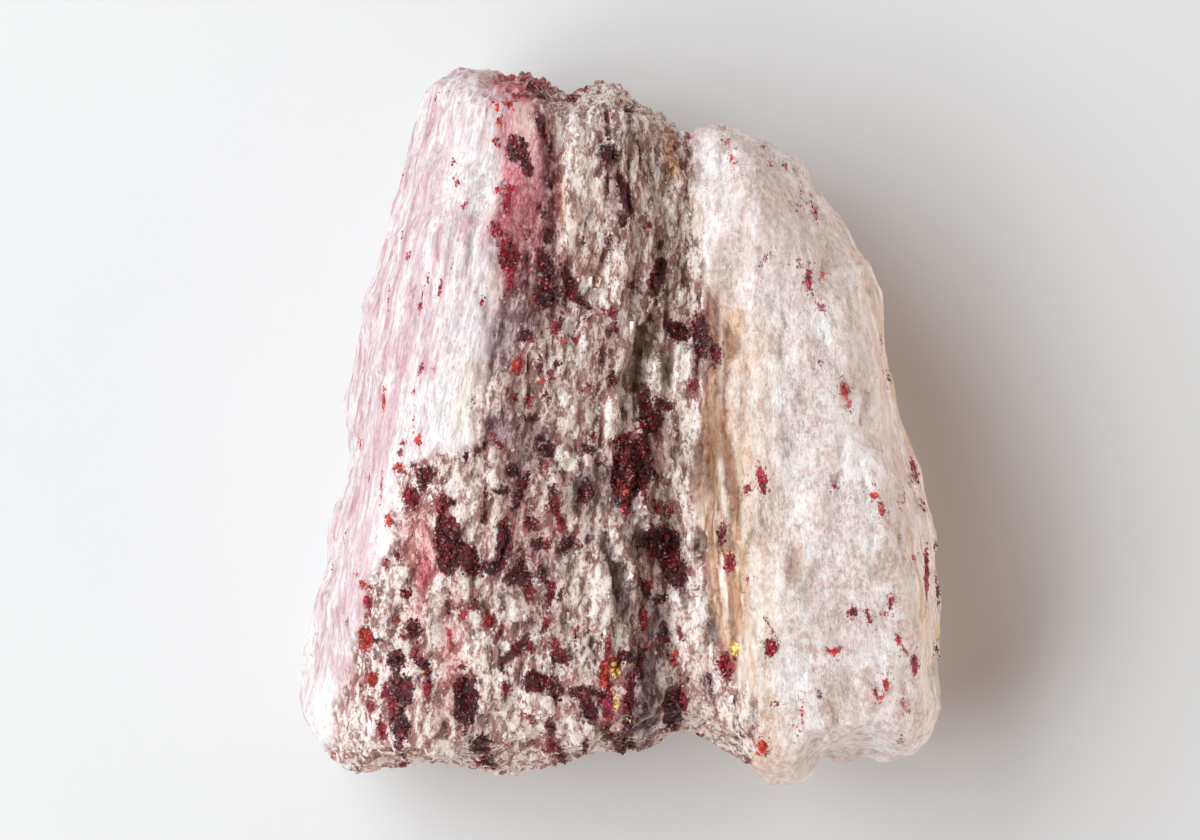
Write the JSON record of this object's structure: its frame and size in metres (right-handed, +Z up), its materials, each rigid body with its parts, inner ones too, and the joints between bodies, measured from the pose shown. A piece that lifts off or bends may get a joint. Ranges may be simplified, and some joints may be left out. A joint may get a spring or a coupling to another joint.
{
  "type": "rough quartz crystal specimen",
  "caption": "Rough broken piece of columnar pink and white quartz with dark red mineral grains, lying on a flat base.",
  "frame": {"origin": "middle of the bounding box's base, on the surface that the stone lies on", "axes": "+Z up from the flat broken base, +Y along the fibres towards the narrow end, +X across them, from the pink flank towards the pale lobe"},
  "size_m": [0.0386, 0.0432, 0.0189],
  "materials": {
    "quartz": "milky to glassy quartz, broken and sugary, satin with bright grains",
    "red_mineral": "dark red granular crystals, glassy"
  },
  "bodies": {
    "root": {"quartz_stone": "quartz"}
  },
  "joints": []
}
